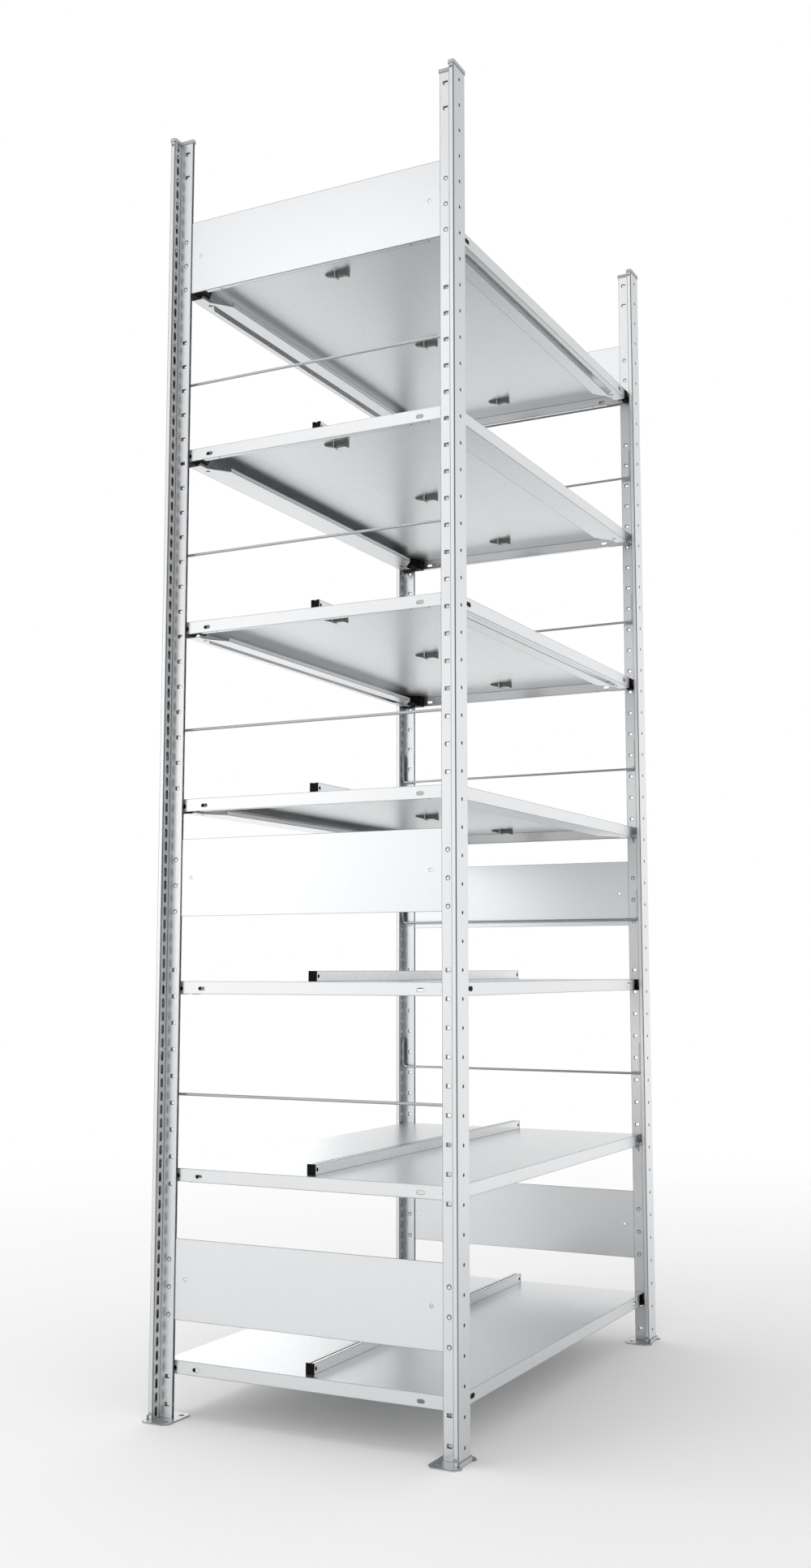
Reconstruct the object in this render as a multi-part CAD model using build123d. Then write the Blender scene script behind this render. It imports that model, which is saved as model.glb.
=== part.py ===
from build123d import *
import math
import os

# A double-sided archive shelving unit of galvanised sheet steel, standing on four posts.
# Lengths are in millimetres. X runs along the unit, Y through its depth and Z up.
# The origin is on the floor, in the middle of the unit.

# Posts, folded from one sheet into a hollow head and a two-walled stem that points inwards
frame_pitch = 1000.0
post_height = 2500.0
post_sheet = 1.5
post_face = 50.0
post_lip = 10.5
stem_length = 28.5
stem_gap = 3.0
post_bend = 2.5
stem_bend = 1.0

# Rows of holes in the posts, measured up from the post's lower end
slot_pitch = 25.0
slot_first = 12.5
slot_height = 17.0
slot_width = 6.5
slot_from_axis = 14.0
hole_pitch = 50.0
face_hole_first = 25.0
face_hole_diameter = 5.5
stem_hole_first = 25.0
stem_hole_length = 9.0
stem_hole_height = 6.5
stem_hole_from_end = 12.0
lip_hole_diameter = 5.0
lip_hole_from_end = 10.0

# Plastic cap on each post
cap_overhang = 1.7
cap_fit = 0.2
cap_skirt = 3.0
cap_top = 3.5
cap_plug_depth = 15.0

# Foot plate under each post
foot_sheet = 2.5
foot_width = 85.0
foot_depth = 60.0
foot_chamfer = 9.5
foot_beyond_post = 7.0
foot_tab_height = 7.0
foot_fit = 0.2
anchor_diameter = 10.0
anchor_spacing = 50.0
anchor_from_edge = 12.0
relief_diameter = 3.0
relief_from_edge = 8.7
ear_height = 22.0
ear_sheet = 2.0
ear_fit = 0.3
boss_diameter = 4.6

# Panels that brace each end frame
panel_sheet = 1.2
panel_height = 148.0
panel_insert = 21.5
panel_chamfer = 12.0
panel_below_hole = 9.0
panel_pegs = 3
peg_above_hole = 11.5
plain_holes_below = 1
plain_holes_above = 2
panel_first_holes = {"bottom": 3, "middle": 18}
top_panel_from_last_hole = 6
peg_hole_diameter = 8.0
peg_diameter = 6.8
peg_rest = 0.05
panel_hole_diameter = 6.0
panel_hole_from_stem = 23.0

# Shelves
shelf_count = 7
lowest_shelf_top = 106.5
room_above_shelves = 290.0
shelf_depth = 600.0
shelf_sheet = 1.0
shelf_height = 24.5
shelf_web_gap = 7.0
shelf_stem_gap = 1.5
shelf_corner_radius = 3.0
shelf_edge_radius = 0.6
flange_stop_open = 30.0
flange_stop_closed = 15.0
return_width = 58.0
return_lip = 8.6
mitre_outer_width = 27.0
mitre_start = 93.5
mitre_end = 52.5
pocket_length = 29.5
end_flange_short = 12.0
end_return_width = 11.0
end_return_short = 52.0
corner_ear_drop = 14.0
corner_ear_width = 17.0

# Holes in the shelves
grip_hole_length = 18.0
grip_hole_height = 8.0
grip_hole_from_end = 65.5
grip_hole_below_top = 12.0
return_hole_diameter = 8.0
return_hole_from_end = 67.5
return_hole_from_edge = 19.0
end_slot_length = 14.0
end_slot_height = 6.0
end_slot_from_edge = 67.5
end_hole_diameter = 8.0
end_hole_from_edge = 21.0
end_holes_below_top = 14.0
end_return_hole_diameter = 3.5
end_return_hole_from_edge = 88.0
hanger_slot_width = 14.6
hanger_slot_from_edge = 12.0
hanger_slot_outer_end = 93.5
hanger_slot_inner_end = 67.5
grip_plug_fit = 0.2
grip_plug_rim = 1.8
grip_plug_sheet = 1.5

# Stop rail along the middle of each shelf, held by wedges under the sheet
rail_width = 17.0
rail_height = 19.5
rail_sheet = 1.2
rail_slit = 3.0
rail_from_shelf_end = 19.5
rail_hole_diameter = 6.5
rail_hole_from_end = 6.0
rail_cap_sheet = 2.0
rail_cap_plug = 10.0
rail_cap_fit = 0.2
rail_cap_notch = 5.0
rail_cap_slot_length = 7.0
rail_cap_slot_width = 3.0
wedge_from_rail_end = 74.0
wedge_width = 9.4
wedge_height = 8.0
wedge_head_reach = 28.0
wedge_head_length = 10.0
wedge_head_height = 12.0
wedge_tip_reach = 23.0
wedge_tip_height = 2.5
wedge_fit = 0.1
eye_sheet = 3.0
eye_bar = 3.0
eye_fit = 0.5

# Black corner clips that hook into the posts and carry the shelves from inside their corners
clip_from_edge = 1.5
clip_tower_width = 16.5
clip_tower_depth = 9.5
clip_side_gap = 1.0
clip_pocket_gap = 0.5
clip_rest = 0.05
clip_drop = 0.8
clip_block_width = 20.8
clip_arch_height = 7.0
clip_arch_span = 26.0
clip_foot_length = 5.0
hook_fit = 0.35
hook_height = 9.0
hook_drop = 4.5
hook_sheet = 2.0
hook_gap = 0.2

# Side-stop wires above every shelf but the lowest and the highest
wire_diameter = 5.5
wire_above_shelf = 136.5
wire_bend = 8.0
wire_hook_bend = 3.2
wire_web_gap = 0.35
wire_slot_rest = 0.35
wire_hook_reach = 6.0
wire_least_rise = 50.0

# Places worked out from the sizes above
post_axis_x = frame_pitch / 2
stem_half = stem_gap / 2 + post_sheet
web_y = shelf_depth / 2 + shelf_web_gap
face_y = web_y + post_lip
stem_end_y = web_y - stem_length
stem_hole_y = stem_end_y + stem_hole_from_end
post_base = foot_sheet
post_top = post_base + post_height
slot_x = post_axis_x - slot_from_axis
shelf_end_x = post_axis_x - stem_half - shelf_stem_gap
shelf_edge_y = shelf_depth / 2
return_end_x = shelf_end_x - pocket_length
mitre_outer_x = shelf_end_x - mitre_end
mitre_outer_y = shelf_edge_y - mitre_outer_width
end_return_y = shelf_edge_y - end_return_short
stem_hole_count = int((post_height - stem_hole_first - stem_hole_height) // hole_pitch) + 1
shelf_room = post_top - room_above_shelves - lowest_shelf_top
shelf_pitch = slot_pitch * math.floor(shelf_room / (shelf_count - 1) / slot_pitch)
panel_first_holes["top"] = stem_hole_count - 1 - top_panel_from_last_hole
rail_end_x = shelf_end_x - rail_from_shelf_end - rail_cap_sheet
outer_wedge_x = rail_end_x - wedge_from_rail_end
wedge_places = (-outer_wedge_x, 0, outer_wedge_x)
wire_bays = range(1, shelf_count - 1)

frames = {"left": -1, "right": 1}
sides = {"front": -1, "back": 1}


def to_corner(shape, frame, side):
    """Mirror a shape made for the right back corner to the corner that is asked for."""
    if frame < 0:
        shape = mirror(shape, about=Plane.YZ)
    if side < 0:
        shape = mirror(shape, about=Plane.XZ)
    return shape


def box(x, y, z):
    """Make a box from its low and high values along the three axes."""
    size = (x[1] - x[0], y[1] - y[0], z[1] - z[0])
    centre = ((x[0] + x[1]) / 2, (y[0] + y[1]) / 2, (z[0] + z[1]) / 2)
    return Pos(*centre) * Box(*size)


def rod_along_x(diameter, x, y, z):
    """Make a cylinder along X between two places."""
    return Pos((x[0] + x[1]) / 2, y, z) * Rot(0, 90, 0) * Cylinder(diameter / 2, x[1] - x[0])


def rod_along_y(diameter, x, y, z):
    """Make a cylinder along Y between two places."""
    return Pos(x, (y[0] + y[1]) / 2, z) * Rot(90, 0, 0) * Cylinder(diameter / 2, y[1] - y[0])


def slot_height_of(step):
    """Give the middle height of one web slot, counted up from the lowest."""
    return post_base + slot_first + step * slot_pitch


def stem_hole_middle(step):
    """Give the middle height of one stem hole, counted up from the lowest."""
    return post_base + stem_hole_first + step * hole_pitch


def peg_hole_middle(step):
    """Give the middle height of the hole that a panel's peg hangs in, above one stem hole's place."""
    return stem_hole_middle(step) + peg_above_hole


def shelf_top(level):
    """Give the height of a shelf's upper face, counted up from the lowest shelf."""
    return lowest_shelf_top + level * shelf_pitch


def has_open_corners(level):
    """Tell the open-cornered shelves from the closed ones: from the top, every odd one is open."""
    return (shelf_count - level) % 2 == 1


def post_outline(grow):
    """Draw the T outline of a post, grown outwards by a small amount."""
    head = Pos(0, face_y - post_lip / 2) * Rectangle(post_face + 2 * grow, post_lip + 2 * grow)
    stem_centre = web_y - stem_length / 2
    stem = Pos(0, stem_centre) * Rectangle(2 * (stem_half + grow), stem_length + 2 * grow)
    outline = head + stem
    ends = [v for v in outline.vertices() if abs(v.X) > post_face / 2 - post_sheet]
    outline = fillet(ends, post_bend + grow)
    middle = [v for v in outline.vertices() if abs(v.X) < post_face / 4]
    inner = [v for v in middle if abs(v.Y - web_y + grow) < post_sheet]
    return fillet(inner, stem_bend)


def post_void():
    """Draw the hollow inside a post, which runs out between the stem's walls."""
    head = Pos(0, face_y - post_lip / 2) * Rectangle(post_face - 2 * post_sheet, post_lip - 2 * post_sheet)
    gap_length = stem_length + 3 * post_sheet
    gap = Pos(0, web_y + 2 * post_sheet - gap_length / 2) * Rectangle(stem_gap, gap_length)
    void = head + gap
    ends = [v for v in void.vertices() if abs(v.X) > post_face / 2 - 2 * post_sheet]
    void = fillet(ends, post_bend - post_sheet)
    middle = [v for v in void.vertices() if abs(v.X) < post_face / 4]
    inner = [v for v in middle if abs(v.Y - web_y - post_sheet) < post_sheet]
    return fillet(inner, stem_bend + post_sheet)


def post_cutters():
    """Make every hole of a post: face holes, stem holes, peg holes, web slots and lip holes."""
    cutters = []
    face_count = int((post_height - face_hole_first) // hole_pitch) + 1
    for step in range(face_count):
        z = post_base + face_hole_first + step * hole_pitch
        cutters.append(rod_along_y(face_hole_diameter, 0, (face_y - post_lip / 2, face_y + post_sheet), z))
    through_stem = (-post_lip, post_lip)
    unpierced = []
    for first_hole in panel_first_holes.values():
        unpierced += range(first_hole - plain_holes_below, first_hole + panel_pegs + plain_holes_above)
        for step in range(panel_pegs):
            z = peg_hole_middle(first_hole + step)
            cutters.append(rod_along_x(peg_hole_diameter, through_stem, stem_hole_y, z))
    stem_hole = Box(2 * post_lip, stem_hole_length, stem_hole_height)
    for step in range(stem_hole_count):
        if step not in unpierced:
            cutters.append(Pos(0, stem_hole_y, stem_hole_middle(step)) * stem_hole)
    slot_count = int((post_height - slot_first - slot_height / 2) // slot_pitch) + 1
    slot = Plane.XZ * Rot(0, 0, 90) * SlotOverall(slot_height, slot_width)
    slot = extrude(slot, amount=post_sheet, both=True)
    for step in range(slot_count):
        for side in (-1, 1):
            cutters.append(Pos(side * slot_from_axis, web_y + post_sheet / 2, slot_height_of(step)) * slot)
    for z in (post_base + lip_hole_from_end, post_top - lip_hole_from_end):
        cutters.append(rod_along_x(lip_hole_diameter, (-post_face, post_face), face_y - post_lip / 2, z))
    return cutters


def make_post():
    """Fold the post and pierce it. It stands at the right back corner."""
    section = post_outline(0) - post_void()
    post = Pos(0, 0, post_base) * extrude(section, amount=post_height)
    return Pos(post_axis_x, 0, 0) * (post - post_cutters())


def make_cap():
    """Make the plastic cap, with a short skirt outside the post and a plug inside its head."""
    shell = Pos(0, 0, post_top - cap_skirt) * extrude(post_outline(cap_overhang), amount=cap_skirt + cap_top)
    room = Pos(0, 0, post_top - cap_skirt) * extrude(post_outline(cap_fit), amount=cap_skirt)
    plug_size = (post_face - 2 * post_sheet - 2 * cap_fit, post_lip - 2 * post_sheet - 2 * cap_fit)
    plug_face = Pos(0, face_y - post_lip / 2) * RectangleRounded(*plug_size, post_bend - post_sheet)
    plug = Pos(0, 0, post_top - cap_plug_depth) * extrude(plug_face, amount=cap_plug_depth)
    return Pos(post_axis_x, 0, 0) * (shell - room + plug)


def make_foot():
    """Make the foot plate, with its upturned tab, two ears in the post's head and their bosses."""
    outer_y = face_y + foot_beyond_post
    inner_y = outer_y - foot_depth
    plate = box((-foot_width / 2, foot_width / 2), (inner_y, outer_y), (0, foot_sheet))
    plate = chamfer(plate.edges().filter_by(Axis.Z), foot_chamfer)
    tab_y = (face_y + foot_fit, face_y + foot_fit + foot_sheet)
    tab_x = (-post_face / 2, post_face / 2)
    plate -= box(tab_x, (tab_y[1], outer_y), (0, foot_sheet))
    plate += box(tab_x, tab_y, (0, foot_sheet + foot_tab_height))
    lip_inside = post_face / 2 - post_sheet
    ear_y = (web_y + post_sheet + 2 * ear_fit, face_y - post_sheet - 2 * ear_fit)
    for side in (-1, 1):
        ear_x = sorted((side * (lip_inside - ear_fit), side * (lip_inside - ear_fit - ear_sheet)))
        plate += box(ear_x, ear_y, (foot_sheet / 2, post_base + ear_height))
        boss_x = sorted((side * (lip_inside - ear_fit - ear_sheet / 2), side * (post_face / 2 - ear_fit)))
        plate += rod_along_x(boss_diameter, boss_x, face_y - post_lip / 2, post_base + lip_hole_from_end)
        anchor = Cylinder(anchor_diameter / 2, 2 * foot_sheet)
        plate -= Pos(side * anchor_spacing / 2, inner_y + anchor_from_edge, foot_sheet / 2) * anchor
        relief = Cylinder(relief_diameter / 2, 2 * foot_sheet)
        plate -= Pos(side * post_face / 2, outer_y - relief_from_edge, foot_sheet / 2) * relief
    return Pos(post_axis_x, 0, 0) * plate


def make_panel(first_hole):
    """Make one bracing panel of the right frame, with the pegs that hang in the stems."""
    low = peg_hole_middle(first_hole) - panel_below_hole
    end_y = stem_end_y + panel_insert
    sheet_x = (post_axis_x - panel_sheet / 2, post_axis_x + panel_sheet / 2)
    panel = box(sheet_x, (-end_y, end_y), (low, low + panel_height))
    panel = chamfer(panel.edges().filter_by(Axis.X), panel_chamfer)
    lowered = (peg_hole_diameter - peg_diameter) / 2 - peg_rest
    for side in (-1, 1):
        hole_y = side * (stem_end_y - panel_hole_from_stem)
        hole_z = low + panel_height / 2
        hole_x = (sheet_x[0] - panel_sheet, sheet_x[1] + panel_sheet)
        panel -= rod_along_x(panel_hole_diameter, hole_x, hole_y, hole_z)
        for step in range(panel_pegs):
            z = peg_hole_middle(first_hole + step) - lowered
            peg_x = (post_axis_x - stem_half, post_axis_x + stem_half)
            panel += rod_along_x(peg_diameter, peg_x, side * stem_hole_y, z)
    return panel


def make_return(outer_x, bottom):
    """Make the folded return along the back edge of a shelf, mitred towards both corners."""
    inner_y = shelf_edge_y - return_width
    mitre_low = shelf_end_x - mitre_start
    half = [
        (outer_x, shelf_edge_y),
        (outer_x, mitre_outer_y),
        (mitre_outer_x, mitre_outer_y),
        (mitre_low, inner_y),
    ]
    outline = half + [(-x, y) for x, y in reversed(half)]
    strip = Pos(0, 0, bottom) * extrude(make_face(Polyline(*outline, close=True)), amount=shelf_sheet)
    lip = box((-mitre_low, mitre_low), (inner_y, inner_y + shelf_sheet), (bottom, bottom + return_lip))
    hole_x = shelf_end_x - return_hole_from_end
    for side in (-1, 1):
        drill = Cylinder(return_hole_diameter / 2, 4 * shelf_sheet)
        strip -= Pos(side * hole_x, shelf_edge_y - return_hole_from_edge, bottom) * drill
    return strip + lip


def hanger_slot(bottom):
    """Make the long slot in the return of an open-cornered shelf, with slanted ends."""
    outer_y = shelf_edge_y - hanger_slot_from_edge
    inner_y = outer_y - hanger_slot_width
    half = [(shelf_end_x - hanger_slot_outer_end, outer_y), (shelf_end_x - hanger_slot_inner_end, inner_y)]
    outline = half + [(-x, y) for x, y in reversed(half)]
    face = make_face(Polyline(*outline, close=True))
    return Pos(0, 0, bottom - shelf_sheet) * extrude(face, amount=3 * shelf_sheet)


def corner_ear(bottom):
    """Make the three-cornered ear that hangs below the flange of a closed-cornered shelf."""
    end_x = shelf_end_x - flange_stop_closed + shelf_sheet
    outline = [(end_x - corner_ear_width, bottom), (end_x, bottom), (end_x, bottom - corner_ear_drop)]
    face = make_face(Polyline(*[(x, 0, z) for x, z in outline], close=True))
    ear = extrude(face, amount=shelf_sheet / 2, both=True, dir=(0, 1, 0))
    return Pos(0, shelf_edge_y - shelf_sheet / 2, 0) * ear


def make_shelf(level):
    """Fold one shelf, with open or with closed corners."""
    top = shelf_top(level)
    bottom = top - shelf_height
    under = top - shelf_sheet
    open_corners = has_open_corners(level)
    flange_stop = flange_stop_open if open_corners else flange_stop_closed - shelf_sheet
    flange_x = shelf_end_x - flange_stop

    plate = RectangleRounded(2 * shelf_end_x, 2 * shelf_edge_y, shelf_corner_radius)
    shelf = Pos(0, 0, under) * extrude(plate, amount=shelf_sheet)
    rim = [e for e in shelf.edges() if e.bounding_box().min.Z > top - shelf_sheet / 2]
    shelf = fillet(rim, shelf_edge_radius)

    flange_y = (shelf_edge_y - shelf_sheet, shelf_edge_y)
    flange_z = (bottom, top - shelf_edge_radius)
    edge = box((-flange_x, flange_x), flange_y, flange_z)
    edge += make_return(min(return_end_x, flange_x), bottom)
    if open_corners:
        edge -= hanger_slot(bottom)
        grip = Plane.XZ * SlotOverall(grip_hole_length, grip_hole_height)
        grip = extrude(grip, amount=2 * shelf_sheet, both=True)
        for side in (-1, 1):
            grip_x = side * (shelf_end_x - grip_hole_from_end)
            edge -= Pos(grip_x, shelf_edge_y, top - grip_hole_below_top) * grip
    else:
        edge += corner_ear(bottom)
        edge += mirror(corner_ear(bottom), about=Plane.YZ)

    end_y = shelf_edge_y - end_flange_short
    end = box((shelf_end_x - shelf_sheet, shelf_end_x), (-end_y, end_y), flange_z)
    fold_x = (shelf_end_x - end_return_width, shelf_end_x)
    end += box(fold_x, (-end_return_y, end_return_y), (bottom, bottom + shelf_sheet))
    slot = Plane.YZ * SlotOverall(end_slot_length, end_slot_height)
    slot = extrude(slot, amount=2 * shelf_sheet, both=True)
    holes_z = top - end_holes_below_top
    for side in (-1, 1):
        end -= Pos(shelf_end_x, side * (shelf_edge_y - end_slot_from_edge), holes_z) * slot
        hole_y = side * (shelf_edge_y - end_hole_from_edge)
        hole_x = (shelf_end_x - 2 * shelf_sheet, shelf_end_x + shelf_sheet)
        end -= rod_along_x(end_hole_diameter, hole_x, hole_y, holes_z)
        small = Cylinder(end_return_hole_diameter / 2, 4 * shelf_sheet)
        small_y = side * (shelf_edge_y - end_return_hole_from_edge)
        end -= Pos(shelf_end_x - end_return_width / 2, small_y, bottom) * small

    shelf += [edge, mirror(edge, about=Plane.XZ), end, mirror(end, about=Plane.YZ)]
    opening_x = wedge_width / 2 + eye_bar + eye_fit
    opening_y = eye_sheet / 2 + eye_fit
    opening_z = (under - shelf_sheet, top + shelf_sheet)
    for x in wedge_places:
        shelf -= box((x - opening_x, x + opening_x), (-opening_y, opening_y), opening_z)
    return shelf


def make_rail(level):
    """Make a stop rail: a slit box section with three eyes that pass down through the shelf."""
    base = shelf_top(level)
    under = base - shelf_sheet
    half_width = rail_width / 2
    rail = box((-rail_end_x, rail_end_x), (-half_width, half_width), (base, base + rail_height))
    inside_y = half_width - rail_sheet
    inside_z = (base + rail_sheet, base + rail_height - rail_sheet)
    past_end = rail_end_x + rail_sheet
    rail -= box((-past_end, past_end), (-inside_y, inside_y), inside_z)
    slit_z = (inside_z[1] - rail_sheet, base + rail_height + rail_sheet)
    rail -= box((-past_end, past_end), (-rail_slit / 2, rail_slit / 2), slit_z)
    for side in (-1, 1):
        hole_x = side * (rail_end_x - rail_hole_from_end)
        rail -= rod_along_y(rail_hole_diameter, hole_x, (-rail_width, rail_width), base + rail_height / 2)

    window_depth = wedge_height + wedge_fit
    leg_x = wedge_width / 2 + eye_bar
    for x in wedge_places:
        eye_z = (under - window_depth - eye_bar, base + rail_sheet / 2)
        eye = box((x - leg_x, x + leg_x), (-eye_sheet / 2, eye_sheet / 2), eye_z)
        window_x = wedge_width / 2 + wedge_fit
        window_z = (under - window_depth, under)
        eye -= box((x - window_x, x + window_x), (-eye_sheet, eye_sheet), window_z)
        rail += eye
    return rail


def make_wedges(level):
    """Make the three plastic wedges that lock a stop rail from below."""
    seat = shelf_top(level) - shelf_sheet
    side_view = [
        (-wedge_head_reach, seat),
        (wedge_tip_reach, seat),
        (wedge_tip_reach, seat - wedge_tip_height),
        (eye_sheet, seat - wedge_height),
        (wedge_head_length - wedge_head_reach, seat - wedge_height),
        (-wedge_head_reach, seat - wedge_head_height),
    ]
    face = make_face(Polyline(*[(0, y, z) for y, z in side_view], close=True))
    wedge = extrude(face, amount=wedge_width / 2, both=True, dir=(1, 0, 0))
    return [Pos(x, 0, 0) * wedge for x in wedge_places]


def make_rail_caps(level):
    """Make the two plastic caps that close a stop rail."""
    base = shelf_top(level)
    inner_x = rail_end_x
    outer_x = rail_end_x + rail_cap_sheet
    cap = box((inner_x, outer_x), (-rail_width / 2, rail_width / 2), (base, base + rail_height))
    plug_y = rail_width / 2 - rail_sheet - rail_cap_fit
    plug_z = (base + rail_sheet + rail_cap_fit, base + rail_height - rail_sheet - rail_cap_fit)
    plug = box((inner_x - rail_cap_plug, inner_x), (-plug_y, plug_y), plug_z)
    hole_x = inner_x - rail_hole_from_end
    plug -= rod_along_y(rail_hole_diameter, hole_x, (-rail_width, rail_width), base + rail_height / 2)
    cap += plug
    top = base + rail_height
    half_notch = rail_cap_notch / 2
    notch = [(-half_notch, top), (half_notch, top), (0, top - rail_cap_notch)]
    notch_face = make_face(Polyline(*[(inner_x, y, z) for y, z in notch], close=True))
    cap -= extrude(notch_face, amount=2 * rail_cap_sheet, dir=(1, 0, 0))
    slot = Plane.YZ * SlotOverall(rail_cap_slot_length, rail_cap_slot_width)
    slot_y = rail_width / 4
    cap -= Pos(outer_x, slot_y, top - rail_height / 4) * extrude(slot, amount=rail_cap_sheet / 2, both=True)
    return [cap, mirror(cap, about=Plane.YZ)]


def make_grip_plugs(level):
    """Make the two plugs that close one grip hole in each long flange of an open-cornered shelf."""
    middle = Pos(shelf_end_x - grip_hole_from_end, shelf_edge_y, shelf_top(level) - grip_hole_below_top)
    length = grip_hole_length - 2 * grip_plug_fit
    height = grip_hole_height - 2 * grip_plug_fit
    depth = shelf_sheet + grip_plug_sheet
    stem = extrude(Plane.XZ * SlotOverall(length, height), amount=depth, dir=(0, -1, 0))
    rim = Plane.XZ * SlotOverall(length + 2 * grip_plug_rim, height + 2 * grip_plug_rim)
    rim = Pos(0, -shelf_sheet, 0) * extrude(rim, amount=grip_plug_sheet, dir=(0, -1, 0))
    plug = middle * (stem + rim)
    return [plug, to_corner(plug, -1, -1)]


def clip_hook(bottom, from_y):
    """Make the tongue that passes through a web slot and the hook that hangs behind the web."""
    tongue_width = slot_width - 2 * hook_fit
    hook_slot = math.floor((bottom + slot_height / 2 - slot_height_of(0)) / slot_pitch)
    tongue_low = slot_height_of(hook_slot) - slot_height / 2 + clip_rest
    tongue_middle = tongue_low + hook_height / 2
    behind_web = web_y + post_sheet + hook_gap
    tongue = Plane.XZ * Rot(0, 0, 90) * SlotOverall(hook_height, tongue_width)
    tongue = extrude(tongue, amount=behind_web + hook_sheet - from_y, dir=(0, 1, 0))
    hook = Pos(slot_x, from_y, tongue_middle) * tongue
    hook_x = (slot_x - tongue_width / 2, slot_x + tongue_width / 2)
    return hook + box(hook_x, (behind_web, behind_web + hook_sheet), (tongue_low - hook_drop, tongue_middle))


def make_clip(level, wide):
    """Make one corner clip: a tower inside the shelf's corner, and on a wide clip a block beside it.

    The block fills the pocket that the shelf's returns leave open, so the shelf lifts off it.
    """
    bottom = shelf_top(level) - shelf_height
    clip_z = (bottom - clip_drop, shelf_top(level) - shelf_sheet - clip_rest)
    outer_y = shelf_edge_y - clip_from_edge
    tower_end = shelf_end_x - shelf_sheet - clip_side_gap
    clip = box((tower_end - clip_tower_width, tower_end), (outer_y - clip_tower_depth, outer_y), clip_z)
    if wide:
        block_x = return_end_x + clip_pocket_gap
        low_y = end_return_y + clip_pocket_gap
        outline = [
            (tower_end, outer_y),
            (block_x, outer_y),
            (block_x, mitre_outer_y - clip_pocket_gap),
            (mitre_outer_x + 2 * clip_pocket_gap, mitre_outer_y - clip_pocket_gap),
            (tower_end - clip_block_width, low_y),
            (tower_end, low_y),
        ]
        block = make_face(Polyline(*outline, close=True))
        clip += Pos(0, 0, clip_z[0]) * extrude(block, amount=clip_z[1] - clip_z[0])
        arch_radius = (clip_arch_span ** 2 / 4 + clip_arch_height ** 2) / (2 * clip_arch_height)
        arch_y = low_y + clip_foot_length + clip_arch_span / 2
        arch_x = (mitre_outer_x, shelf_end_x)
        clip -= rod_along_x(2 * arch_radius, arch_x, arch_y, clip_z[0] + clip_arch_height - arch_radius)
        hole_y = shelf_edge_y - end_hole_from_edge
        clip -= rod_along_x(end_hole_diameter, arch_x, hole_y, shelf_top(level) - end_holes_below_top)
    return clip + clip_hook(bottom, outer_y)


def make_wire(level):
    """Bend one side-stop wire of the right frame, with both ends hooked into the posts."""
    run_z = shelf_top(level) + wire_above_shelf
    hook_slot = math.ceil((run_z + wire_least_rise - slot_height_of(0)) / slot_pitch)
    hook_z = slot_height_of(hook_slot) - slot_height / 2 + wire_diameter / 2 + wire_slot_rest
    riser_y = web_y - wire_web_gap - wire_diameter / 2
    tip_y = web_y + wire_hook_reach
    half = [(slot_x, tip_y, hook_z), (slot_x, riser_y, hook_z), (slot_x, riser_y, run_z)]
    points = half + [(x, -y, z) for x, y, z in reversed(half)]
    bends = [wire_hook_bend, wire_bend, wire_bend, wire_hook_bend]
    path = FilletPolyline(*points, radius=bends)
    section = Plane(origin=path @ 0, z_dir=path % 0) * Circle(wire_diameter / 2)
    return sweep(section, path=path)


nodes = {}

post = make_post()
cap = make_cap()
foot = make_foot()
for frame_name, frame in frames.items():
    for side_name, side in sides.items():
        place = f"{frame_name}_{side_name}"
        nodes[f"upright_{place}"] = to_corner(post, frame, side)
        nodes[f"top_cap_{place}"] = to_corner(cap, frame, side)
        nodes[f"foot_plate_{place}"] = to_corner(foot, frame, side)
    for height_name, first_hole in panel_first_holes.items():
        nodes[f"frame_panel_{frame_name}_{height_name}"] = to_corner(make_panel(first_hole), frame, 1)

for level in range(shelf_count):
    number = shelf_count - level
    side_clips = {-1: make_clip(level, wide=False), 1: make_clip(level, wide=True)}
    clips = [to_corner(side_clips[side], frame, side) for frame in frames.values() for side in sides.values()]
    nodes[f"shelf_{number}"] = make_shelf(level)
    nodes[f"stop_rail_{number}"] = make_rail(level)
    nodes[f"rail_wedges_{number}"] = Compound(children=make_wedges(level))
    black_caps = make_rail_caps(level)
    if has_open_corners(level):
        black_caps += make_grip_plugs(level)
    nodes[f"black_caps_{number}"] = Compound(children=black_caps)
    nodes[f"shelf_clips_{number}"] = Compound(children=clips)
    if level in wire_bays:
        wire = make_wire(level)
        wires = [to_corner(wire, frame, 1) for frame in frames.values()]
        nodes[f"side_wires_{number}"] = Compound(children=wires)

os.makedirs("parts", exist_ok=True)
for name, shape in nodes.items():
    export_step(shape, f"parts/{name}.step")
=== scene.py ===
import math

import bpy
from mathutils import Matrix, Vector

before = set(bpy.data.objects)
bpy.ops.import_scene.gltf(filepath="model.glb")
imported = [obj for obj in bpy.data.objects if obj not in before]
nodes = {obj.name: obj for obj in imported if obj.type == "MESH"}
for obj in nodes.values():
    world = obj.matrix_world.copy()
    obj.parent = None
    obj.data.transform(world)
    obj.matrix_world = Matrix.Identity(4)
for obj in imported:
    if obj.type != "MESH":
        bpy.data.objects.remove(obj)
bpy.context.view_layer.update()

# The camera stands at table height, off the left front of the unit, and looks slightly up at it.
# Its lens is a short one, so the near post towers over the far ones.
camera_place = (-3.0315, -1.4951, 0.829)
camera_turn = 63.0
camera_tilt = 6.74
camera_lens = 36.47
camera_sensor = 36.0
camera_lift = -0.0016
camera_reach = 100.0
camera_data = bpy.data.cameras.new("camera")
camera_data.lens = camera_lens
camera_data.sensor_width = camera_sensor
camera_data.shift_y = camera_lift
camera_data.clip_end = camera_reach
camera = bpy.data.objects.new("camera", camera_data)
camera.location = camera_place
camera.rotation_euler = (math.radians(90 + camera_tilt), 0, -math.radians(camera_turn))
bpy.context.scene.collection.objects.link(camera)
bpy.context.scene.camera = camera
bpy.context.scene.view_settings.view_transform = "Standard"

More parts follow.
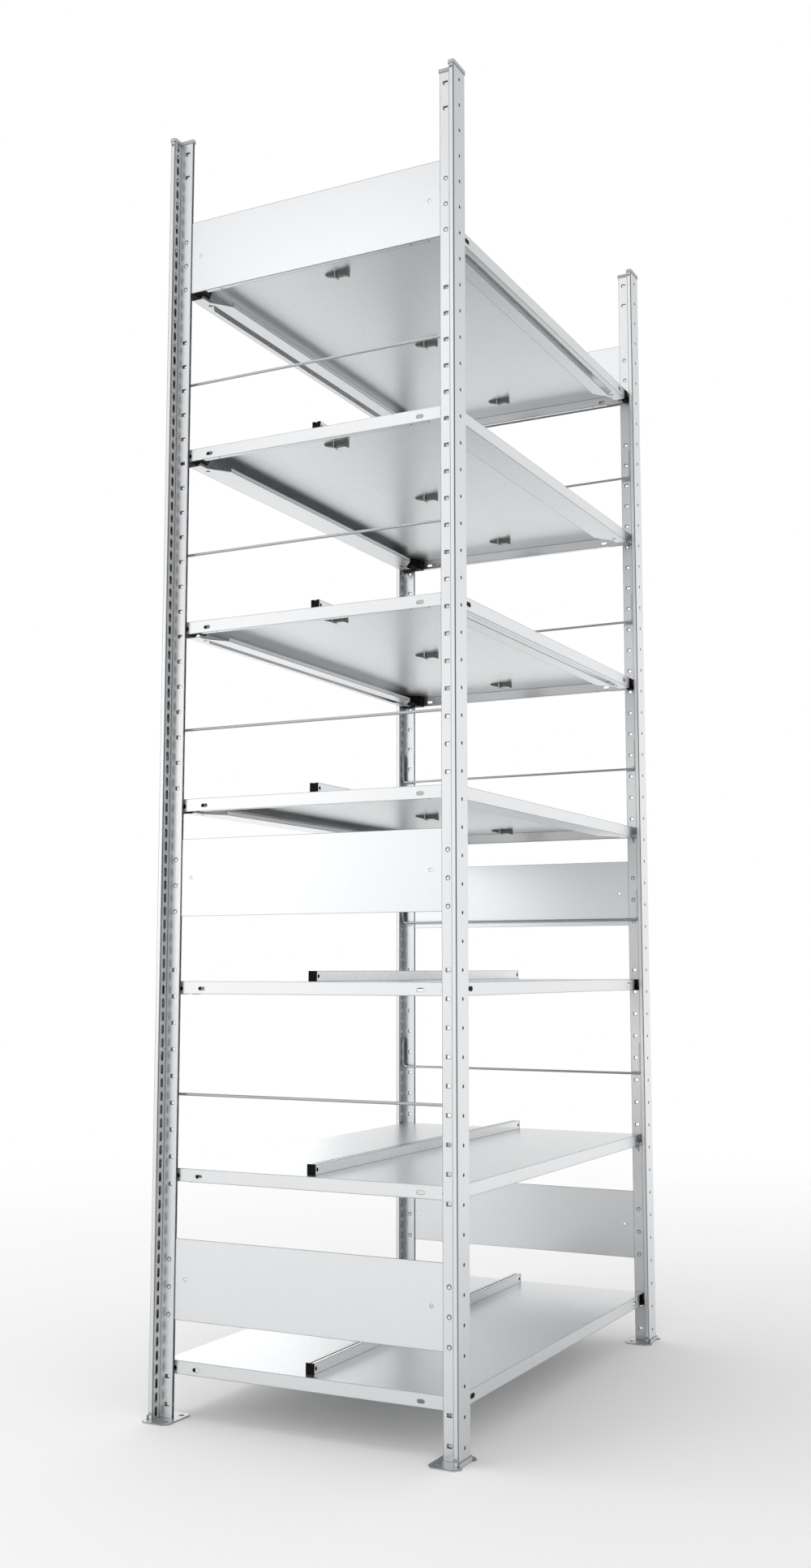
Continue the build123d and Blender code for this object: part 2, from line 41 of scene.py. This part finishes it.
# The floor is a pale studio floor. It fades out into the white surround on all sides of the unit
# and keeps the soft shadow of the four feet and the lowest shelf.
floor_radius = 14.0
floor_sides = 96
floor_colour = (0.85, 0.85, 0.85, 1)
floor_roughness = 0.9
floor_fade_start = 1.2
floor_fade_end = 4.2


def spread(tree, value, low, high, from_low=0.3, from_high=0.7, curve="LINEAR"):
    """Spread one range of a value, by default a pattern's middle one, between two others."""
    ramp = tree.nodes.new("ShaderNodeMapRange")
    ramp.interpolation_type = curve
    ramp.inputs["From Min"].default_value = from_low
    ramp.inputs["From Max"].default_value = from_high
    ramp.inputs["To Min"].default_value = low
    ramp.inputs["To Max"].default_value = high
    tree.links.new(value, ramp.inputs["Value"])
    return ramp.outputs["Result"]


def choose(tree, share, first, second):
    """Mix two shaders: the first one where the share is 0, the second one where it is 1."""
    mixer = tree.nodes.new("ShaderNodeMixShader")
    tree.links.new(share, mixer.inputs["Fac"])
    tree.links.new(first, mixer.inputs[1])
    tree.links.new(second, mixer.inputs[2])
    return mixer.outputs["Shader"]


def set_surface(tree, shader):
    """Let a shader be the surface of its material."""
    tree.links.new(shader, tree.nodes["Material Output"].inputs["Surface"])


bpy.ops.mesh.primitive_circle_add(vertices=floor_sides, radius=floor_radius, fill_type="NGON")
floor = bpy.context.object
floor.name = "studio_floor"
floor_paint = bpy.data.materials.new("studio_floor")
floor_paint.use_nodes = True
tree = floor_paint.node_tree
floor_shader = tree.nodes["Principled BSDF"]
floor_shader.inputs["Base Color"].default_value = floor_colour
floor_shader.inputs["Roughness"].default_value = floor_roughness
place = tree.nodes.new("ShaderNodeTexCoord")
distance = tree.nodes.new("ShaderNodeVectorMath")
distance.operation = "LENGTH"
tree.links.new(place.outputs["Object"], distance.inputs[0])
fade = spread(tree, distance.outputs["Value"], 0, 1, floor_fade_start, floor_fade_end, "SMOOTHSTEP")
clear = tree.nodes.new("ShaderNodeBsdfTransparent")
set_surface(tree, choose(tree, fade, floor_shader.outputs["BSDF"], clear.outputs["BSDF"]))
floor.data.materials.append(floor_paint)

# The light is a white studio. The camera sees a plain white backdrop and the metal mirrors one
# that is brightest at the horizon, while the surround gives most light from low down. Of four
# soft lamps the strongest hangs overhead, and the others stand behind the unit on both sides.
white = (1, 1, 1, 1)
low_light = 2.0
high_light = 0.42
backdrop_light = 1.0
band_light = 1.1
outside_band_light = 0.68
band_reach = 0.18
band_fade_end = 0.5
world = bpy.data.worlds.new("studio")
bpy.context.scene.world = world
world.use_nodes = True
tree = world.node_tree
direction = tree.nodes.new("ShaderNodeTexCoord")
parts = tree.nodes.new("ShaderNodeSeparateXYZ")
tree.links.new(direction.outputs["Generated"], parts.inputs["Vector"])
surround = tree.nodes["Background"]
surround.inputs["Color"].default_value = white
grade = spread(tree, parts.outputs["Z"], low_light, high_light, 0, 1)
tree.links.new(grade, surround.inputs["Strength"])
off_level = tree.nodes.new("ShaderNodeMath")
off_level.operation = "ABSOLUTE"
tree.links.new(parts.outputs["Z"], off_level.inputs[0])
mirrored = tree.nodes.new("ShaderNodeBackground")
mirrored.inputs["Color"].default_value = white
band = spread(tree, off_level.outputs["Value"], band_light, outside_band_light, band_reach, band_fade_end)
tree.links.new(band, mirrored.inputs["Strength"])
backdrop = tree.nodes.new("ShaderNodeBackground")
backdrop.inputs["Color"].default_value = white
backdrop.inputs["Strength"].default_value = backdrop_light
ray = tree.nodes.new("ShaderNodeLightPath")
seen = tree.nodes.new("ShaderNodeMath")
seen.operation = "MAXIMUM"
tree.links.new(ray.outputs["Is Camera Ray"], seen.inputs[0])
tree.links.new(ray.outputs["Is Transmission Ray"], seen.inputs[1])
glossy = ray.outputs["Is Glossy Ray"]
unseen_light = choose(tree, glossy, surround.outputs["Background"], mirrored.outputs["Background"])
all_light = choose(tree, seen.outputs["Value"], unseen_light, backdrop.outputs["Background"])
tree.links.new(all_light, tree.nodes["World Output"].inputs["Surface"])


def add_lamp(name, spot, aim, width, height, power):
    """Hang a rectangular soft lamp at a spot and turn it towards a point."""
    data = bpy.data.lights.new(name, "AREA")
    data.shape = "RECTANGLE"
    data.size = width
    data.size_y = height
    data.energy = power
    lamp = bpy.data.objects.new(name, data)
    lamp.location = spot
    lamp.rotation_euler = (Vector(aim) - Vector(spot)).to_track_quat("-Z", "Y").to_euler()
    bpy.context.scene.collection.objects.link(lamp)
    lamp.visible_camera = False


add_lamp("left_lamp", spot=(-4.3, 3.0, 1.7), aim=(-0.5, 0, 1.2), width=1.8, height=1.8, power=6.5)
add_lamp("high_lamp", spot=(-4.3, 1.9, 3.9), aim=(-0.5, 0, 2.1), width=1.8, height=1.1, power=5)
add_lamp("back_lamp", spot=(4.4, 4.2, 1.6), aim=(0, 0, 0.8), width=2.6, height=2.6, power=13)
add_lamp("overhead_lamp", spot=(-0.9, 1.1, 5.4), aim=(0, 0, 0.5), width=3.2, height=3.2, power=58)

# A dark curtain hangs to the right of the camera and a little behind it. It shows only in
# reflections, and deepens the dark line along the bends of the posts, most of which is painted shade.
curtain_place = (-2.4, -4.04, 1.4)
curtain_turn = -27.0
curtain_width = 5.0
curtain_height = 6.5
curtain_colour = (0.12, 0.12, 0.12, 1)
bpy.ops.mesh.primitive_plane_add(size=1)
curtain = bpy.context.object
curtain.name = "dark_curtain"
curtain.location = curtain_place
curtain.rotation_euler = (math.radians(90), 0, math.radians(curtain_turn))
curtain.scale = (curtain_width, curtain_height, 1)
curtain.visible_camera = False
curtain.visible_diffuse = False
curtain.visible_shadow = False
curtain_paint = bpy.data.materials.new("dark_curtain")
curtain_paint.use_nodes = True
tree = curtain_paint.node_tree
curtain_cloth = tree.nodes.new("ShaderNodeEmission")
curtain_cloth.inputs["Color"].default_value = curtain_colour
set_surface(tree, curtain_cloth.outputs["Emission"])
curtain.data.materials.append(curtain_paint)

# The four uprights are folded from galvanised sheet, pierced with slots and holes, and stand on
# foot plates. Their zinc has a soft grain along the post, faint crystals and cloudy patches, and
# shade is painted darker into its colour along the cut edges and on the bends.
corners = ("left_front", "left_back", "right_front", "right_back")
post_colour = (0.71, 0.72, 0.73, 1)
post_grain = (1400, 1400, 70)
# Painted shade: the slanted faces of the posts' bends are darkened down to this tone.
post_bend_shade = 0.4
zinc_tones = (0.99, 1.005)
clouds_per_metre = 5.0
crystals_per_metre = 130.0
crystal_tones = (0.994, 1.003)
zinc_relief = 0.015
zinc_relief_depth = 0.0002
# Painted shade: each zinc's colour is darkened to this tone along cut edges and sharp bends.
edge_shade_width = 0.0022
edge_shade_tone = 0.15
edge_samples = 6
edge_likeness = 0.9
flat_likeness = 0.995
bend_starts = 0.1
bend_full = 0.4


def new_material(name, colour):
    """Start a material and return it with its node tree and its shader."""
    paint = bpy.data.materials.new(name)
    paint.use_nodes = True
    shader = paint.node_tree.nodes["Principled BSDF"]
    shader.inputs["Base Color"].default_value = colour
    return paint, paint.node_tree, shader


def noise(tree, vector, scale, detail=2.0):
    """Add a noise pattern that follows a vector output."""
    pattern = tree.nodes.new("ShaderNodeTexNoise")
    pattern.inputs["Scale"].default_value = scale
    pattern.inputs["Detail"].default_value = detail
    tree.links.new(vector, pattern.inputs["Vector"])
    return pattern.outputs["Fac"]


def product(tree, first, second):
    """Multiply two patterns."""
    times = tree.nodes.new("ShaderNodeMath")
    times.operation = "MULTIPLY"
    tree.links.new(first, times.inputs[0])
    tree.links.new(second, times.inputs[1])
    return times.outputs["Value"]


def tint(tree, colour, tone, shader):
    """Give a shader a colour that is multiplied by a pattern of tones."""
    mixer = tree.nodes.new("ShaderNodeMix")
    mixer.data_type = "RGBA"
    mixer.blend_type = "MULTIPLY"
    mixer.inputs["Factor"].default_value = 1.0
    mixer.inputs["A"].default_value = colour
    tree.links.new(tone, mixer.inputs["B"])
    tree.links.new(mixer.outputs["Result"], shader.inputs["Base Color"])


def relief(tree, pattern, strength, depth, shader):
    """Give a shader's surface the relief of a pattern."""
    bump = tree.nodes.new("ShaderNodeBump")
    bump.inputs["Strength"].default_value = strength
    bump.inputs["Distance"].default_value = depth
    tree.links.new(pattern, bump.inputs["Height"])
    tree.links.new(bump.outputs["Normal"], shader.inputs["Normal"])


def painted_edge_shade(tree):
    """Give a tone of painted shade that darkens the cut edges and sharp bends of a sheet."""
    rounded = tree.nodes.new("ShaderNodeBevel")
    rounded.samples = edge_samples
    rounded.inputs["Radius"].default_value = edge_shade_width
    flat = tree.nodes.new("ShaderNodeNewGeometry")
    likeness = tree.nodes.new("ShaderNodeVectorMath")
    likeness.operation = "DOT_PRODUCT"
    tree.links.new(rounded.outputs["Normal"], likeness.inputs[0])
    tree.links.new(flat.outputs["Normal"], likeness.inputs[1])
    return spread(tree, likeness.outputs["Value"], edge_shade_tone, 1.0, edge_likeness, flat_likeness)


def painted_bend_shade(tree, darkest):
    """Give a tone of painted shade that darkens the slanted faces of a sheet's rounded upright bends."""
    facing = tree.nodes.new("ShaderNodeTexCoord")
    parts = tree.nodes.new("ShaderNodeSeparateXYZ")
    tree.links.new(facing.outputs["Normal"], parts.inputs["Vector"])
    slant = tree.nodes.new("ShaderNodeMath")
    slant.operation = "ABSOLUTE"
    tree.links.new(product(tree, parts.outputs["X"], parts.outputs["Y"]), slant.inputs[0])
    return spread(tree, slant.outputs["Value"], 1.0, darkest, bend_starts, bend_full)


def galvanised(name, colour, grain, smooth, rough, bend_shade=None):
    """Make a zinc-coated steel with a grain, faint crystals, cloudy patches and painted shade at edges and,
    if given, bends.
    """
    paint, tree, steel = new_material(name, colour)
    place = tree.nodes.new("ShaderNodeTexCoord").outputs["Object"]
    stretch = tree.nodes.new("ShaderNodeMapping")
    stretch.inputs["Scale"].default_value = grain
    tree.links.new(place, stretch.inputs["Vector"])
    brushed = noise(tree, stretch.outputs["Vector"], scale=1.0, detail=3.0)
    clouds = noise(tree, place, clouds_per_metre)
    crystals = tree.nodes.new("ShaderNodeTexVoronoi")
    crystals.inputs["Scale"].default_value = crystals_per_metre
    tree.links.new(place, crystals.inputs["Vector"])
    crystal_tone = tree.nodes.new("ShaderNodeSeparateColor")
    tree.links.new(crystals.outputs["Color"], crystal_tone.inputs["Color"])
    tone = spread(tree, brushed, *zinc_tones)
    tone = product(tree, tone, spread(tree, clouds, *zinc_tones))
    tone = product(tree, tone, spread(tree, crystal_tone.outputs["Red"], *crystal_tones, 0, 1))
    # Painted shade: the colour is darkened along the cut edges and sharp bends.
    tone = product(tree, tone, painted_edge_shade(tree))
    # Painted shade: where a bend tone is given, the slanted faces of the bends are darkened.
    if bend_shade is not None:
        tone = product(tree, tone, painted_bend_shade(tree, bend_shade))
    tint(tree, colour, tone, steel)
    steel.inputs["Metallic"].default_value = 1.0
    tree.links.new(spread(tree, brushed, smooth, rough), steel.inputs["Roughness"])
    relief(tree, brushed, zinc_relief, zinc_relief_depth, steel)
    return paint


def dress(node, paint):
    """Put a finish on a piece in place of its plain one."""
    mesh = nodes[node].data
    mesh.materials.clear()
    mesh.materials.append(paint)


post_zinc = galvanised("post_zinc", post_colour, post_grain, smooth=0.27, rough=0.4, bend_shade=post_bend_shade)
for corner in corners:
    dress(f"upright_{corner}", post_zinc)

# Each upright has a moulded grey cap, pressed into the head to cover its cut edge.
# The plastic is matt with a fine moulded texture.
cap_colour = (0.27, 0.27, 0.28, 1)
cap_roughness = 0.5
cap_grain = 1800
patches_per_metre = 40.0
patch_tones = (0.9, 1.1)
patch_gloss = 0.06
plastic_relief = 0.15
plastic_relief_depth = 0.0003


def moulded(name, colour, roughness, grain, shine=0.5):
    """Make a moulded plastic with a fine texture and slightly uneven gloss."""
    paint, tree, plastic = new_material(name, colour)
    place = tree.nodes.new("ShaderNodeTexCoord").outputs["Object"]
    texture = noise(tree, place, grain)
    patches = noise(tree, place, patches_per_metre)
    tint(tree, colour, spread(tree, patches, *patch_tones), plastic)
    gloss = spread(tree, patches, roughness - patch_gloss, roughness + patch_gloss)
    tree.links.new(gloss, plastic.inputs["Roughness"])
    relief(tree, texture, plastic_relief, plastic_relief_depth, plastic)
    plastic.inputs["Specular IOR Level"].default_value = shine
    return paint


cap_plastic = moulded("cap_plastic", cap_colour, cap_roughness, cap_grain)
for corner in corners:
    dress(f"top_cap_{corner}", cap_plastic)

# A punched foot plate spreads the load under each upright. It is thicker zinc-coated sheet,
# a little darker and duller than the posts, with holes for floor anchors.
foot_colour = (0.62, 0.63, 0.64, 1)
foot_grain = (900, 900, 900)
foot_zinc = galvanised("foot_zinc", foot_colour, foot_grain, smooth=0.32, rough=0.48)
for corner in corners:
    dress(f"foot_plate_{corner}", foot_zinc)

# Flat brace panels stiffen each end frame. They hang by pegs in the stems of the posts.
# Their zinc has the most even gloss on the unit, with its grain along the panel.
panel_colour = (0.74, 0.75, 0.76, 1)
panel_grain = (1400, 70, 1400)
panel_zinc = galvanised("panel_zinc", panel_colour, panel_grain, smooth=0.28, rough=0.33)
for end in ("left", "right"):
    for level in ("bottom", "middle", "top"):
        dress(f"frame_panel_{end}_{level}", panel_zinc)

# Seven folded shelves rest on clips at their corners. They are zinc-coated sheet that is rolled
# along its length, so its grain runs that way.
shelf_numbers = range(1, 8)
shelf_colour = (0.72, 0.73, 0.74, 1)
shelf_grain = (90, 1400, 1400)
shelf_zinc = galvanised("shelf_zinc", shelf_colour, shelf_grain, smooth=0.26, rough=0.38)
for number in shelf_numbers:
    dress(f"shelf_{number}", shelf_zinc)

# A slit box rail runs along the middle of each shelf as a stop between its two sides.
# It is the same zinc-coated sheet, and its three eyes reach down through the shelf.
rail_zinc = galvanised("rail_zinc", shelf_colour, shelf_grain, smooth=0.24, rough=0.36)
for number in shelf_numbers:
    dress(f"stop_rail_{number}", rail_zinc)

# Dark plastic wedges pushed through the eyes hold each rail down from below.
# They are moulded in a grey that is darker than the caps of the posts.
wedge_colour = (0.085, 0.09, 0.088, 1)
wedge_roughness = 0.45
wedge_grain = 1600
wedge_plastic = moulded("wedge_plastic", wedge_colour, wedge_roughness, wedge_grain)
for number in shelf_numbers:
    dress(f"rail_wedges_{number}", wedge_plastic)

# Black plastic closes the rails' ends and two grip holes of each odd shelf, and makes the clips
# that carry the shelves. The photograph shows no black at the front corners of the even shelves,
# so the clips there are given a bare steel finish, which is a choice made for the picture.
black_colour = (0.003, 0.003, 0.003, 1)
black_roughness = 0.6
black_grain = 1600
black_shine = 0.1
clip_steel_colour = (0.6, 0.61, 0.62, 1)
clip_steel_roughness = 0.34


def bare_front(paint, colour, roughness):
    """Turn what lies in the front half of the unit into bare steel and leave the rest as it is."""
    tree = paint.node_tree
    place = tree.nodes.new("ShaderNodeTexCoord")
    parts = tree.nodes.new("ShaderNodeSeparateXYZ")
    tree.links.new(place.outputs["Object"], parts.inputs["Vector"])
    in_front = tree.nodes.new("ShaderNodeMath")
    in_front.operation = "LESS_THAN"
    in_front.inputs[1].default_value = 0
    tree.links.new(parts.outputs["Y"], in_front.inputs[0])
    plastic = tree.nodes["Principled BSDF"]
    bare = tree.nodes.new("ShaderNodeBsdfPrincipled")
    bare.inputs["Base Color"].default_value = colour
    bare.inputs["Metallic"].default_value = 1.0
    bare.inputs["Roughness"].default_value = roughness
    either = choose(tree, in_front.outputs["Value"], plastic.outputs["BSDF"], bare.outputs["BSDF"])
    set_surface(tree, either)


black_plastic = moulded("black_plastic", black_colour, black_roughness, black_grain, black_shine)
half_steel = moulded("half_steel", black_colour, black_roughness, black_grain, black_shine)
bare_front(half_steel, clip_steel_colour, clip_steel_roughness)
for number in shelf_numbers:
    dress(f"black_caps_{number}", black_plastic)
    dress(f"shelf_clips_{number}", black_plastic if number % 2 else half_steel)

# Bent wires hook into the posts above the shelves and stop things from falling out sideways.
# They are drawn steel wire with a zinc coat that looks darker than the sheet.
wire_numbers = range(2, 7)
wire_colour = (0.44, 0.45, 0.46, 1)
wire_grain = (1500, 200, 1500)
wire_zinc = galvanised("wire_zinc", wire_colour, wire_grain, smooth=0.22, rough=0.34)
for number in wire_numbers:
    dress(f"side_wires_{number}", wire_zinc)
